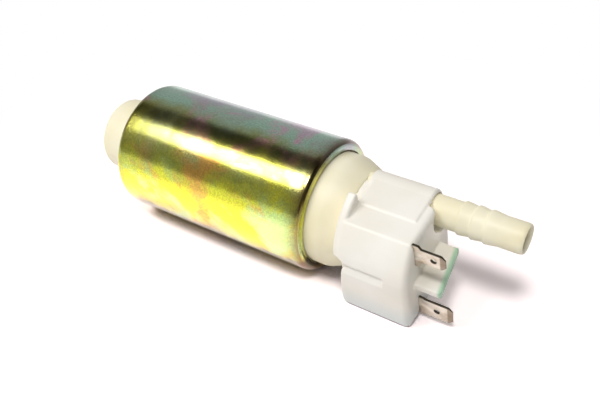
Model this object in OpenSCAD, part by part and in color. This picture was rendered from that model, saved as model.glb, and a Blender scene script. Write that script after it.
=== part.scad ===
// In-tank electric fuel pump, lying as it rests on a table.
// X runs along the pump's axis towards the outlet, Z is up.
// The origin is on that axis, halfway along the can.
// Pieces are drawn with the can's outlet rim at x = 0 and the terminal face towards -Y,
// then module rest_pose() leans and shifts them into place.

/* [Can] */
// Outside diameter of the can
can_d = 39; // [38.6:0.1:39.4]
// Length of the can from rim to rim
can_len = 66.7; // [62:0.1:80]
// Thickness of the can's sheet
can_wall = 1.2; // [0.8:0.1:1.4]
// Outside radius of the roll at each rim
roll_r = 2.2; // [1.8:0.1:2.6]
// Width of each rolled lip, from the can's outside to its hole
lip_w = 2.75; // [2.7:0.05:3.2]

/* [Outlet cap] */
// Length of the cap's seat inside the can
cap_seat_len = 8.3; // [8:0.1:10]
// Gap between the barrel and the lip's hole
barrel_gap = 0.55; // [0.3:0.05:1]
// How far the barrel stands out of the rim
barrel_out = 10.3; // [9:0.1:13]
// Length of the barrel's straight part outside the rim
barrel_straight = 4.2; // [3:0.1:6]
// How much smaller the barrel's nose is in radius
nose_in = 2.6; // [1.6:0.1:2.8]
// Thickness of the cap's front wall
front_wall = 9.8; // [9:0.1:10]
// Wall of the cap around the brush gear
cap_wall = 4.05; // [3.8:0.05:4.6]

/* [Outlet tube] */
// Outside diameter of the tube
tube_d = 8.3; // [8:0.1:9]
// Bore of the tube
tube_bore_d = 6; // [5.8:0.1:6.2]
// How far the tube stands out of the terminal housing
tube_out = 22.3; // [20:0.1:30]
// Distance of the tube's axis inside the barrel's surface, upwards
tube_in = 7.3; // [7:0.1:7.6]
// Distance of the tube's axis behind the pump's axis
tube_y = 3.85; // [3.4:0.05:4.2]
// Height of a barb over the tube
barb_h = 0.45; // [0.2:0.05:0.7]
// Length of one barb
barb_len = 3.6; // [3:0.1:4]
// Number of barbs
barbs = 3; // [1:1:3]
// Length of plain tube before the first barb
neck_len = 4.8; // [4:0.1:7]

/* [Terminal housing] */
// Length of the housing in front of the barrel
housing_len = 21.6; // [20:0.1:24]
// How far the outer face stays inside the can's outside
face_in = 0.7; // [0.4:0.1:1.5]
// How far the bottom edge stays above the can's lowest line
down_in = 4.15; // [3.9:0.05:4.6]
// How far the flat top stays below the can's highest line
up_in = 5.9; // [5.4:0.1:6.4]
// Distance of the back side behind the pump's axis
block_back = 6.5; // [5:0.1:7]
// Radius of the small rounds of the block
block_round = 1.6; // [0.8:0.1:1.8]
// Length left free between the barrel and the block
block_gap = 0.6; // [0.3:0.1:1.5]
// Thickness of the base plate on the barrel
base_t = 3; // [2.4:0.1:3.6]
// Height of the pad around the tube over the flat top
pad_h = 0.4; // [0.2:0.1:0.5]
// How far the pad and the tube's socket stay behind the block's end
socket_in = 2.3; // [1:0.1:3]
// Thickness of the hood that covers the barrel's edge
hood_t = 2.6; // [2:0.1:3.6]
// Wall around the outlet tube
socket_wall = 0.9; // [0.7:0.1:1.1]
// Gap between the outlet tube and its socket
socket_gap = 0.15; // [0.05:0.05:0.2]

/* [Connector] */
// Distance of the blades inside the wall of the brush gear's space
blade_in = 1.9; // [1.7:0.1:2.2]
// Thickness of a blade
blade_t = 0.8; // [0.7:0.05:0.9]
// Width of the upper blade
upper_w = 4.8; // [4.6:0.1:5]
// Width of the lower blade
lower_w = 6.3; // [6.1:0.1:6.5]
// Distance of the upper blade's middle below the block's top
upper_down = 3.55; // [3.4:0.05:3.8]
// Distance of the lower blade's middle above the block's bottom
lower_up = 3.95; // [3.8:0.05:4.2]
// Length of the upper blade from its shoulder to its tip
upper_len = 6.5; // [6:0.1:8]
// Length of the lower blade from its shoulder to its tip
lower_len = 7.8; // [6:0.1:8.4]
// Width of the upper blade's shoulder
upper_root = 7.8; // [7:0.1:8]
// Width of the lower blade's shoulder
lower_root = 6.9; // [6.7:0.1:7]
// How far the shoulders stand out of the housing
root_out = 1.75; // [1:0.05:2.4]
// Distance of the crossbar, that joins a blade to its leg, inside the block's end
crossbar_in = 7; // [5:0.5:9]
// Width of that crossbar
crossbar_w = 6; // [4:0.5:7]
// Diameter of the hole in a blade
hole_d = 1.7; // [1.4:0.1:2]
// Distance of the hole from the shoulder
hole_out = 3.3; // [3:0.1:3.6]
// Length of the lead-in chamfers on a blade's corners
tip_chamfer = 1; // [0.6:0.1:1.3]
// Thickness of the divider between the blades
divider_t = 2.2; // [1.6:0.1:2.8]
// Length of the divider at the outer side
divider_len = 7.5; // [6:0.1:9]
// How much shorter the divider is at its back
divider_slant = 2.2; // [0:0.1:3]
// Distance of the divider from the outer face
divider_in = 4.3; // [3:0.1:5]
// Height of the divider above the pump's axis
divider_z = -1; // [-2:0.1:1]
// Depth of the latch notch in the outer face
latch_depth = 0.9; // [0.4:0.1:1.2]
// Length of the latch notch
latch_len = 14.2; // [10:0.1:16]
// Height of the latch notch
latch_h = 3.6; // [2:0.1:4]
// Height of the latch notch's upper edge above the pump's axis
latch_z = 3; // [2.5:0.1:4]

/* [Inlet end] */
// Thickness of the inlet cover inside the can
cover_t = 6; // [5.6:0.1:7]
// Gap between the inlet boss and the lip's hole
boss_gap = 5.25; // [4:0.05:6]
// How far the inlet boss stands out of the can
boss_out = 14; // [10:0.1:16]
// Wall of the inlet boss
boss_wall = 2.2; // [1.8:0.1:2.6]
// Thickness of the pump body
body_t = 9.5; // [9:0.1:10.5]

/* [Pump stage] */
// Wall of the pump body around the impeller
body_wall = 2.95; // [2.6:0.05:3.4]
// Gap around the impeller
rim_gap = 0.3; // [0.2:0.05:0.4]
// Thickness of the impeller
impeller_t = 4; // [3.6:0.1:4.2]
// Number of vanes
vanes = 31; // [23:2:37]
// Depth of the gaps between the vanes
vane_h = 2.4; // [2:0.1:2.8]
// Width of a gap between the vanes
vane_gap = 1.5; // [1.3:0.1:1.6]
// Free gap on each side of the impeller
side_gap = 0.3; // [0.2:0.05:0.4]
// Depth of the channel in each casing face
channel_depth = 1.1; // [0.8:0.1:1.3]

/* [Motor] */
// Diameter of the shaft
shaft_d = 4; // [3.8:0.1:4.2]
// Number of slots and of commutator bars
slots = 8; // [6:1:10]
// Height of the end turns
end_turn_h = 3.6; // [3:0.1:4]
// Air gap between the magnets and the armature
core_gap = 0.6; // [0.5:0.05:0.9]
// Thickness of the magnets
magnet_t = 4.3; // [3.8:0.1:4.5]
// Gap between the magnets and the flux ring
magnet_gap = 0.25; // [0.1:0.05:0.4]
// Angle that one magnet covers
magnet_arc = 148; // [140:1:152]
// Wall of the flux ring
flux_wall = 1.6; // [1.2:0.1:1.8]
// Diameter of the commutator
comm_d = 10; // [9:0.1:10.4]
// Length of the commutator
comm_len = 7.4; // [7.2:0.1:9]
// Outside diameter of both bearings
bearing_d = 8; // [7.4:0.1:8.4]
// Length of both bearings
bearing_len = 5; // [4.6:0.1:5]
// Width and depth of a brush
brush_w = 4; // [3.6:0.1:4.2]
// Length of a brush spring
brush_spring_len = 3.85; // [3.2:0.05:4.4]
// Wall of the brush guides
guide_wall = 1; // [0.8:0.1:1.1]

/* [Valves] */
// Diameter of the check valve's seat bore
check_seat_d = 3.8; // [3.4:0.1:4]
// Diameter of the check valve's head
check_head_d = 5.2; // [5:0.1:5.2]
// Diameter of the check valve's stem
check_stem_d = 1.8; // [1.6:0.1:2]
// Length of the check valve's spring
check_spring_len = 6.8; // [6:0.1:8]
// Diameter of the relief valve's ball
relief_ball_d = 3; // [2.8:0.1:3.2]
// Diameter of the relief valve's seat bore
relief_seat_d = 2; // [1.8:0.1:2.2]
// Distance of the relief valve inside the barrel's surface
relief_in = 5.2; // [4.9:0.1:5.4]
// Angle of the relief valve below the back side
relief_turn = 35; // [25:1:38]

/* [Fits] */
// Radial play of a seated piece
seat_play = 0.05; // [0.02:0.01:0.1]
// Radial play of the shaft in its bearings
shaft_play = 0.03; // [0.02:0.01:0.06]
// Radial play of a brush, stem or ball in its guide
guide_play = 0.08; // [0.05:0.01:0.1]

/* [Hidden] */

// Radii that follow from the can, walls and gaps
can_r = can_d / 2;
can_bore_r = can_r - can_wall;
seat_r = can_bore_r - seat_play;
lip_hole_r = can_r - lip_w;
barrel_r = lip_hole_r - barrel_gap;
nose_r = barrel_r - nose_in;
gear_r = seat_r - cap_wall;
tube_r = tube_d / 2;
shaft_r = shaft_d / 2;
comm_r = comm_d / 2;
bearing_r = bearing_d / 2;
boss_r = lip_hole_r - boss_gap;
boss_bore_r = boss_r - boss_wall;
impeller_r = seat_r - body_wall - rim_gap;
flux_bore_r = seat_r - flux_wall;
magnet_r = flux_bore_r - magnet_gap;
magnet_in_r = magnet_r - magnet_t;
core_r = magnet_in_r - core_gap;

// Places across the pump that follow from the same radii
face_out = can_r - face_in;
block_down = can_r - down_in;
block_up = can_r - up_in;
tube_z = barrel_r - tube_in;
blade_y = -(gear_r - blade_in);
upper_z = block_up - upper_down;
lower_z = -block_down + lower_up;
relief_r = barrel_r - relief_in;
relief_y = relief_r * cos(relief_turn);
relief_down = relief_r * sin(relief_turn);

// Stations along X, from the outlet rim down to the inlet end
cap_x1 = -can_wall;
cap_x0 = cap_x1 - cap_seat_len;
barrel_x = barrel_out;
gear_x = barrel_x - front_wall;
block_x0 = barrel_x + block_gap;
block_x1 = barrel_x + housing_len;
tip_x = block_x1 + tube_out;
cover_x0 = -can_len + can_wall;
cover_x1 = cover_x0 + cover_t;
body_x1 = cover_x1 + body_t;
boss_x = -can_len - boss_out;
impeller_x0 = cover_x1 + side_gap;
impeller_x1 = impeller_x0 + impeller_t;
chamber_x1 = impeller_x1 + side_gap;

// Stations of the motor, worked out from both ends towards the armature
plate_in = 0.5;
plate_t = 2.5;
plate_x0 = cap_x0 + plate_in;
plate_x1 = plate_x0 + plate_t;
hub_x1 = plate_x0 + 6;
end_gap = 0.8;
comm_x1 = plate_x0 - end_gap;
comm_x0 = comm_x1 - comm_len;
core_x1 = comm_x0 - end_gap - end_turn_h;
core_x0 = body_x1 + end_gap + end_turn_h;
magnet_over = 2;
magnet_x0 = core_x0 - magnet_over;
magnet_x1 = core_x1 + magnet_over;
brush_x = comm_x1 - comm_len / 2 + 0.4;
guide_end = flux_bore_r - 0.6;
brush_top = guide_end - 0.8 - brush_spring_len - 0.1;

// The corner of the block and the can's lowest line both touch the table
corner_y = face_out - block_round;
corner_z = block_down - block_round;
rest_tilt = asin((can_r - block_round) / norm([corner_y, corner_z])) - atan2(corner_z, corner_y);

// Small named values shared by several pieces
air = 0.3;
press = 0.02;
eps = 0.01;
round_fn = 72;
seal_r = 0.9;
groove_w = 2.4;

// Places a piece drawn from the rim into the resting frame
module rest_pose() {
    translate([can_len / 2, 0, 0]) rotate([rest_tilt, 0, 0]) children();
}

// Points of an arc, with its middle, radius and two angles
function arc(cx, cy, r, a0, a1, n = 6) =
    [for (i = [0:n]) [cx + r * cos(a0 + (a1 - a0) * i / n), cy + r * sin(a0 + (a1 - a0) * i / n)]];

// Turns a profile of [x, radius] points about the pump's axis
module turned(profile) {
    rotate([0, 90, 0]) rotate_extrude($fn = round_fn) polygon([for (p = profile) [p[1], p[0]]]);
}

// Round bar along X between two stations
module bar(r, x0, x1, y = 0, z = 0) {
    translate([x0, y, z]) rotate([0, 90, 0]) cylinder(r = r, h = x1 - x0, $fn = round_fn);
}

// Round bar along X that tapers between two stations
module taper(r0, r1, x0, x1, y = 0, z = 0) {
    translate([x0, y, z]) rotate([0, 90, 0]) cylinder(r1 = r0, r2 = r1, h = x1 - x0, $fn = round_fn);
}

// Ring along X between two stations
module ring(r_out, r_in, x0, x1, y = 0, z = 0) {
    difference() {
        bar(r_out, x0, x1, y, z);
        bar(r_in, x0 - 1, x1 + 1, y, z);
    }
}

// Extrudes an outline in Y and Z along X
module along_x(x0, x1) {
    translate([x0, 0, 0]) rotate([90, 0, 90]) linear_extrude(x1 - x0) children();
}

// Block between two corners
module block(low, high) {
    translate(low) cube(high - low);
}

// Round-wire compression spring along X, swept ring by ring
module coil_spring(coil_r, wire_r, length, turns, steps = 12, sides = 6) {
    pitch = (length - 2 * wire_r) / turns;
    count = turns * steps;
    rings = [for (i = [0:count]) let (a = 360 * i / steps, x = wire_r + pitch * i / steps)
        [for (j = [0:sides - 1]) let (b = 360 * j / sides, r = coil_r + wire_r * cos(b))
            [x + wire_r * sin(b), r * cos(a), r * sin(a)]]];
    skin = [for (i = [0:count - 1]) for (j = [0:sides - 1]) let (k = (j + 1) % sides)
        [i * sides + j, i * sides + k, (i + 1) * sides + k, (i + 1) * sides + j]];
    first = [for (j = [sides - 1:-1:0]) j];
    last = [for (j = [0:sides - 1]) count * sides + j];
    polyhedron(points = [for (r = rings) for (p = r) p], faces = concat(skin, [first, last]));
}

// Rolled steel can: a tube with both ends rolled inwards over the caps
module can() {
    inner_roll = roll_r - can_wall;
    x0 = -can_len;
    color("#c9b95a") rest_pose() turned(concat(
        [[0, lip_hole_r]],
        [for (p = arc(can_r - roll_r, -roll_r, roll_r, 90, 0)) [p[1], p[0]]],
        [for (p = arc(can_r - roll_r, x0 + roll_r, roll_r, 0, -90)) [p[1], p[0]]],
        [[x0, lip_hole_r], [x0 + can_wall, lip_hole_r]],
        [for (p = arc(can_r - roll_r, x0 + roll_r, inner_roll, -90, 0)) [p[1], p[0]]],
        [for (p = arc(can_r - roll_r, -roll_r, inner_roll, 0, 90)) [p[1], p[0]]],
        [[-can_wall, lip_hole_r]]));
}

// Barbed outlet tube on the cap, as a profile about the tube's own axis
module tube_outside() {
    neck_x = block_x1 + neck_len;
    barb_points = [for (i = [0:barbs - 1]) each [
        [neck_x + i * barb_len, tube_r],
        [neck_x + i * barb_len, tube_r + barb_h]]];
    last_x = neck_x + barbs * barb_len;
    translate([0, tube_y, tube_z]) turned(concat(
        [[gear_x + 2, 0], [gear_x + 2, tube_r]],
        barb_points,
        [[last_x, tube_r], [tip_x - 0.8, tube_r], [tip_x, tube_r - 0.5], [tip_x, 0]]));
}

// Ivory acetal cap: seat, barrel, front wall and outlet tube in one moulding
module outlet_cap() {
    seat_chamfer = roll_r - can_wall + 0.3;
    seat_x = cap_x1 + check_seat_x();
    edge = 0.8;
    color("#efe6c4") rest_pose() difference() {
        union() {
            turned(concat(
                [[cap_x0, 0], [cap_x0, seat_r], [cap_x1 - seat_chamfer, seat_r],
                 [cap_x1, seat_r - seat_chamfer], [cap_x1, barrel_r], [barrel_straight - edge, barrel_r],
                 [barrel_straight + edge, barrel_r - edge * nose_in / (barrel_x - barrel_straight) * 0.8]],
                [[barrel_x, nose_r], [barrel_x, 0]]));
            tube_outside();
        }
        bar(gear_r, cap_x0 - 1, gear_x);
        bar(check_seat_d / 2, gear_x - 1, tip_x, tube_y, tube_z);
        bar(tube_bore_d / 2, seat_x, tip_x + 1, tube_y, tube_z);
        taper(tube_bore_d / 2, tube_bore_d / 2 + 0.6, tip_x - 0.6, tip_x + eps, tube_y, tube_z);
        bar(relief_seat_d / 2, gear_x - 1, barrel_x, relief_y, -relief_down);
        bar(relief_ball_d / 2 + guide_play, gear_x + relief_lip, barrel_x + 1, relief_y, -relief_down);
        ring(seat_r + 1, seat_r - 2 * seal_r, groove_x() - groove_w / 2, groove_x() + groove_w / 2);
        for (side = [-1, 1]) terminal_blank(side);
    }
}

// Station of the check valve's seat, from the cap's seat face
function check_seat_x() = barrel_x + 3.7 - cap_x1;

// Station of the outlet seal's groove
function groove_x() = cap_x1 - 4.8;

relief_lip = 1.7;

// Outline of the terminal block: flat outer face, arc along the can's round, flat top
function block_outline(m) =
    let (top_turn = asin((block_up - block_round) / (face_out - block_round)), r = block_round - m)
    concat(
    arc(-face_out + block_round, -block_down + block_round, r, 270, 180, 4),
    arc(0, 0, face_out - m, 180, 180 - top_turn + 2, 7),
    arc(-(face_out - block_round) * cos(top_turn), block_up - block_round, r, 180 - top_turn, 90, 3),
    arc(block_back - 5, block_up - 5, 5 - m, 90, 0, 5),
    arc(block_back - block_round, -6.5, r, 0, -45, 3),
    arc(-1.5 - block_round, -block_down + block_round, r, 315, 270, 3));

// Block with rounded ends, as one skin over a few outlines
module rounded_block(x0, x1) {
    steps = 4;
    hull() for (i = [0:steps]) {
        a = 90 * i / steps;
        m = block_round * (1 - sin(a)) * 0.98;
        inset = block_round * (1 - cos(a));
        for (x = [x0 + inset, x1 - inset - eps]) {
            along_x(x, x + eps) polygon(block_outline(m));
        }
    }
}

// Sizes of the upper (1) and the lower (-1) terminal
function blade_z(side) = side > 0 ? upper_z : lower_z;
function blade_w(side) = side > 0 ? upper_w : lower_w;
function blade_len(side) = side > 0 ? upper_len : lower_len;
function root_w(side) = side > 0 ? upper_root : lower_root;

// How far the upper blade's middle lies above its shoulder's middle
function blade_shift(side) = side > 0 ? 0.5 : 0;

// Outline of one flat terminal in X and Z: blade, shoulder, crossbar and leg
function terminal_outline(side) =
    let (z = blade_z(side), root_z = z - blade_shift(side),
         leg_in = 1.4, leg_out = 3.4,
         bar_x0 = block_x1 - crossbar_in - crossbar_w, bar_x1 = block_x1 - crossbar_in,
         tab = blade_w(side) / 2, root = root_w(side) / 2,
         tab_x = block_x1 + root_out, end_x = tab_x + blade_len(side),
         hidden = root - 1, exit_x = block_x1 - 0.6, slope = 0.7)
    [[gear_x - 1, side * leg_in], [bar_x1, side * leg_in], [bar_x1, root_z - side * root],
     [tab_x - slope, root_z - side * root], [tab_x, z - side * tab],
     [end_x - tip_chamfer, z - side * tab], [end_x, z - side * (tab - tip_chamfer)],
     [end_x, z + side * (tab - tip_chamfer)], [end_x - tip_chamfer, z + side * tab],
     [tab_x, z + side * tab], [tab_x - slope, root_z + side * root],
     [exit_x, root_z + side * root], [exit_x - 0.5, root_z + side * hidden],
     [bar_x0, root_z + side * hidden], [bar_x0, side * leg_out], [gear_x - 1, side * leg_out]];

// Flat stamped blank of one terminal, full thickness
module terminal_blank(side) {
    translate([0, blade_y + blade_t / 2, 0]) rotate([90, 0, 0])
        linear_extrude(blade_t) polygon(terminal_outline(side));
}

// One terminal with its hole and the bevelled tip
module terminal(side) {
    z = blade_z(side);
    tab_x = block_x1 + root_out;
    end_x = tab_x + blade_len(side);
    bevel_x = 1.5;
    bevel_y = 0.24;
    color("#b9b7ad") rest_pose() difference() {
        terminal_blank(side);
        translate([tab_x + hole_out, blade_y, z]) rotate([90, 0, 0])
            cylinder(d = hole_d, h = blade_t + 2, center = true, $fn = 32);
        for (s = [-1, 1]) translate([0, blade_y + s * blade_t / 2, z - blade_w(side)])
            linear_extrude(2 * blade_w(side)) polygon([[end_x - bevel_x, 0], [end_x + 1, s],
                [end_x + 1, -s * bevel_y * (bevel_x + 1) / bevel_x]]);
    }
}

module terminal_positive() {
    terminal(1);
}

module terminal_negative() {
    terminal(-1);
}

// White housing over the terminals, with a socket for the outlet tube
module terminal_housing() {
    socket_r = tube_r + socket_gap + socket_wall;
    socket_x = block_x1 - socket_in;
    color("#f6f4ee") rest_pose() difference() {
        union() {
            bar(nose_r - 0.2, barrel_x, barrel_x + base_t);
            rounded_block(block_x0, block_x1);
            hood();
            bar(socket_r, barrel_x + 1, socket_x - 0.8, tube_y, tube_z);
            taper(socket_r, socket_r - 0.8, socket_x - 0.8, socket_x, tube_y, tube_z);
            block([block_x0 + 1.5, -block_back + 0.5, tube_z], [socket_x - 0.6, tube_y, block_up + pad_h]);
            divider();
        }
        bar(tube_r + socket_gap, barrel_x - 1, block_x1 + 1, tube_y, tube_z);
        bar(tube_r + 1.6, socket_x - 0.2, block_x1 + 1, tube_y, tube_z);
        bar(relief_ball_d / 2 + 0.5, barrel_x - 1, barrel_x + base_t + 1, relief_y, -relief_down);
        for (side = [-1, 1]) terminal_blank(side);
        latch_notch();
        edge_notch();
    }
}

// Hood of the housing over the barrel's edge, along the can's round
module hood() {
    from = 4;
    to = 70;
    tip = face_out + 5;
    hood_r = face_out - 0.25;
    edge = 0.5;
    intersection() {
        turned([[barrel_x, 0], [barrel_x, hood_r - edge], [barrel_x + edge, hood_r],
            [barrel_x + hood_t - edge, hood_r], [barrel_x + hood_t, hood_r - edge], [barrel_x + hood_t, 0]]);
        along_x(barrel_x - 1, barrel_x + hood_t + 1) polygon([[-6, 6 * tan(from)],
            [-tip * cos(from), tip * sin(from)], [-tip, tip],
            [-tip * cos(to), tip * sin(to)], [-6, 6 * tan(to)]]);
    }
}

// Flat divider between the blades, shorter at its back
module divider() {
    y0 = -face_out + divider_in;
    y1 = block_back - 5.5;
    translate([0, 0, divider_z - divider_t / 2]) linear_extrude(divider_t)
        polygon([[block_x1 - 2, y0], [block_x1 + divider_len - 0.6, y0], [block_x1 + divider_len, y0 + 0.6],
            [block_x1 + divider_len - divider_slant, y1], [block_x1 - 2, y1]]);
}

// Ramped notch in the outer face that a plug's latch drops into
module latch_notch() {
    translate([block_x0 - 1, 0, 0]) rotate([90, 0, 90]) linear_extrude(latch_len + 1)
        polygon([[-face_out - 1, latch_z], [-face_out + latch_depth, latch_z],
            [-face_out + latch_depth, latch_z - 0.6], [-face_out, latch_z - latch_h],
            [-face_out - 1, latch_z - latch_h]]);
}

// Notch in the block's edge beside the barrel, with a slanted lower side
module edge_notch() {
    translate([0, -face_out + 3, 0]) rotate([90, 0, 0]) linear_extrude(4)
        polygon([[block_x0 - 2, latch_z + 2.4], [block_x0 + 1.6, latch_z + 1], [block_x0 + 3.6, latch_z - 0.6],
            [block_x0 + 2, latch_z - 2.6], [block_x0 - 0.4, -block_down], [block_x0 - 2, -block_down]]);
}

// Ivory inlet cover: disc inside the can and the round inlet boss, in one moulding
module inlet_cover() {
    edge = roll_r - can_wall + 0.3;
    port_out = boss_bore_r - 0.6;
    color("#efe6c4") rest_pose() difference() {
        union() {
            turned([[cover_x0, 0], [cover_x0, seat_r - edge], [cover_x0 + edge, seat_r],
                [cover_x1, seat_r], [cover_x1, 0]]);
            turned(concat([[cover_x0 + 1, 0]], [[cover_x0 + 1, boss_r]],
                [for (p = arc(boss_r - 1.5, boss_x + 1.5, 1.5, 0, -90)) [p[1], p[0]]],
                [[boss_x, 0]]));
        }
        bar(boss_bore_r, boss_x - 1, -can_len);
        bar(shaft_r + 0.4, cover_x1 - 2.3, cover_x1 + 1);
        bar(1.05, cover_x1 - 4.1, cover_x1);
        channel(cover_x1 - channel_depth, cover_x1 + 1);
        block([-can_len - 1, 4.6, -2.4], [cover_x1 - 2.5, port_out, 2.4]);
        block([cover_x1 - 3, 4.6, -2.4], [cover_x1 + 1, impeller_r - 0.8, 2.4]);
        ring(seat_r + 1, seat_r - 2 * seal_r, cover_x0 + 1.8, cover_x0 + 1.8 + groove_w);
    }
}

// C-shaped side channel in a casing face, open over most of a turn
module channel(x0, x1) {
    difference() {
        ring(impeller_r - 0.2, impeller_r - vane_h - 0.4, x0, x1);
        rotate([-24, 0, 0]) block([x0 - 1, 0, -3], [x1 + 1, impeller_r + 1, 3]);
    }
}

// Pump body: cup around the impeller, with the lower bearing and the outlet port
module pump_body() {
    port_r = 1.6;
    port_at = impeller_r - vane_h / 2 - 0.3;
    color("#8f9296") rest_pose() difference() {
        bar(seat_r, cover_x1, body_x1);
        bar(impeller_r + rim_gap, cover_x1 - 1, chamber_x1);
        bar(bearing_r + press, body_x1 - bearing_len, body_x1 + 1);
        bar(shaft_r + air, cover_x1, body_x1);
        channel(chamber_x1 - eps, chamber_x1 + channel_depth);
        rotate([-50, 0, 0]) bar(port_r, chamber_x1 - 1, body_x1 + 1, port_at, 0);
    }
}

// Turbine impeller with open vanes and a flatted hub hole
module impeller() {
    color("#3c3a36") rest_pose() difference() {
        bar(impeller_r, impeller_x0, impeller_x1);
        shaft_hole(impeller_x0 - 1, impeller_x1 + 1);
        for (i = [0:vanes - 1]) rotate([360 * i / vanes, 0, 0])
            block([impeller_x0 - 1, impeller_r - vane_h, -vane_gap / 2],
                  [impeller_x1 + 1, impeller_r + 1, vane_gap / 2]);
        for (i = [0:3]) rotate([90 * i + 45, 0, 0]) bar(1.2, impeller_x0 - 1, impeller_x1 + 1, 6.5, 0);
    }
}

flat_at = 1.4;

// Flatted hole that carries the impeller on the shaft
module shaft_hole(x0, x1) {
    difference() {
        bar(shaft_r + press, x0, x1);
        block([x0 - 1, flat_at + press, -shaft_r - 1], [x1 + 1, shaft_r + 1, shaft_r + 1]);
    }
}

// Shaft with a flat for the impeller
module shaft() {
    x0 = cover_x1 - 2;
    color("#9aa0a6") rest_pose() difference() {
        bar(shaft_r, x0, hub_x1 - 0.5);
        block([x0 - 1, flat_at, -shaft_r - 1], [impeller_x1 + 0.2, shaft_r + 1, shaft_r + 1]);
    }
}

// Outline of one winding slot, drawn inside by a margin
module slot_outline(m) {
    bottom = shaft_r + (core_r - shaft_r) / 3;
    top = core_r * 0.88;
    half = 180 / slots;
    w0 = bottom * tan(half) - 1.1;
    w1 = top * tan(half) - 1.1;
    polygon([[bottom + m, -w0 + m], [top - m, -w1 + m], [top - m, w1 - m], [bottom + m, w0 - m]]);
}

// Laminated armature core with its slots
module armature_core() {
    color("#5f6468") rest_pose() along_x(core_x0, core_x1) difference() {
        circle(core_r, $fn = round_fn);
        circle(shaft_r + press, $fn = round_fn);
        for (i = [0:slots - 1]) rotate(360 * i / slots) {
            slot_outline(0);
            translate([core_r - 2, -0.8]) square([3, 1.6]);
        }
    }
}

// Copper windings: the bars in the slots and the end turns
module armature_winding() {
    inner = shaft_r + 1.2;
    outer = core_r * 0.85;
    color("#b0622c") rest_pose() union() {
        along_x(core_x0 - 0.5, core_x1 + 0.5) for (i = [0:slots - 1])
            rotate(360 * i / slots) slot_outline(0.2);
        for (e = [[core_x0, -1], [core_x1, 1]]) turned(concat(
            [[e[0], inner], [e[0] + e[1] * (end_turn_h - 1), inner]],
            [[e[0] + e[1] * end_turn_h, inner + 1.2], [e[0] + e[1] * end_turn_h, outer - 2]],
            [[e[0] + e[1] * (end_turn_h - 1.4), outer], [e[0], outer]]));
    }
}

// Copper commutator with its bars and hooks
module commutator() {
    riser_t = 1.3;
    color("#c47f43") rest_pose() difference() {
        union() {
            bar(comm_r, comm_x0, comm_x1);
            bar(comm_r + 1.1, comm_x0, comm_x0 + riser_t);
        }
        bar(shaft_r + press, comm_x0 - 1, comm_x1 + 1);
        for (i = [0:slots - 1]) rotate([360 * i / slots, 0, 0])
            block([comm_x0 - 1, comm_r - 0.8, -0.25], [comm_x1 + 1, comm_r + 2, 0.25]);
    }
}

// Plain bearing bush between two stations
module bush(x0) {
    color("#b08d4a") rest_pose() ring(bearing_r, shaft_r + shaft_play, x0, x0 + bearing_len);
}

module upper_bearing() {
    bush(hub_x1 - bearing_len);
}

module lower_bearing() {
    bush(body_x1 - bearing_len);
}

// Ball that takes the shaft's thrust
module thrust_ball() {
    color("#a9adb2") rest_pose() translate([cover_x1 - 2 - 1.05, 0, 0]) sphere(1, $fn = 32);
}

// Washer on the shaft
module washer(x0, t) {
    color("#7a4a2a") rest_pose() ring(shaft_r + 1.1, shaft_r + press, x0, x0 + t);
}

module upper_washer() {
    washer(comm_x1, end_gap - air);
}

module lower_washer() {
    washer(body_x1 + air, end_gap - air);
}

// Steel sleeve that carries the magnets and spaces the two ends
module flux_ring() {
    color("#8a8d90") rest_pose() ring(seat_r, flux_bore_r, body_x1, cap_x0);
}

// One arc magnet about an angle
module magnet(turn) {
    a = magnet_arc / 2;
    far = 2 * can_r;
    color("#3b3d40") rest_pose() rotate([turn, 0, 0]) intersection() {
        ring(magnet_r, magnet_in_r, magnet_x0, magnet_x1);
        along_x(magnet_x0 - 1, magnet_x1 + 1) polygon([[0, 0], [far * cos(a), -far * sin(a)],
            [far, -far * sin(a)], [far, far * sin(a)], [far * cos(a), far * sin(a)]]);
    }
}

module magnet_front() {
    magnet(180);
}

module magnet_back() {
    magnet(0);
}

// Folded spring clip that pushes the magnets apart
module magnet_clip(turn) {
    half = 90 - magnet_arc / 2;
    mid = (magnet_in_r + magnet_r) / 2;
    w = mid * tan(half) - 0.4;
    top = magnet_r - 0.5;
    low = magnet_in_r + 0.8;
    t = 0.5;
    color("#9ea2a6") rest_pose() rotate([turn, 0, 0]) along_x(magnet_x0 + 2, magnet_x1 - 2)
        polygon([[low, -w], [top, -t], [top, t], [low, w], [low, w - 1.4 * t], [top - 2 * t, 0],
            [low, -w + 1.4 * t]]);
}

module magnet_clip_top() {
    magnet_clip(90);
}

module magnet_clip_bottom() {
    magnet_clip(-90);
}

// Brush holder: plate, bearing hub and two brush guides in one moulding
module brush_holder() {
    inner = brush_w / 2 + guide_play;
    outer = inner + guide_wall;
    color("#2f2d2a") rest_pose() difference() {
        union() {
            bar(gear_r - seat_play, plate_x0, plate_x1);
            bar(bearing_r + 1.5, plate_x0, hub_x1);
            for (s = [-1, 1]) {
                block_pair(s, [brush_x - outer, -outer, comm_r + 1.5], [cap_x0 - air, outer, guide_end]);
                block_pair(s, [brush_x, -outer, comm_r + 1.5], [plate_x0 + 1, outer, gear_r - 1]);
            }
        }
        bar(bearing_r + press, hub_x1 - bearing_len, hub_x1 + 1);
        bar(shaft_r + air, plate_x0 - 1, hub_x1);
        for (s = [-1, 1]) block_pair(s, [brush_x - inner, -inner, comm_r - 1],
            [brush_x + inner, inner, guide_end - 0.8]);
        for (a = [0, 180]) rotate([a, 0, 0]) bar(2.2, plate_x0 - 1, plate_x1 + 1, gear_r - 4, 0);
    }
}

// Block above or below the axis
module block_pair(s, low, high) {
    mirror([0, 0, s < 0 ? 1 : 0]) block(low, high);
}

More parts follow.
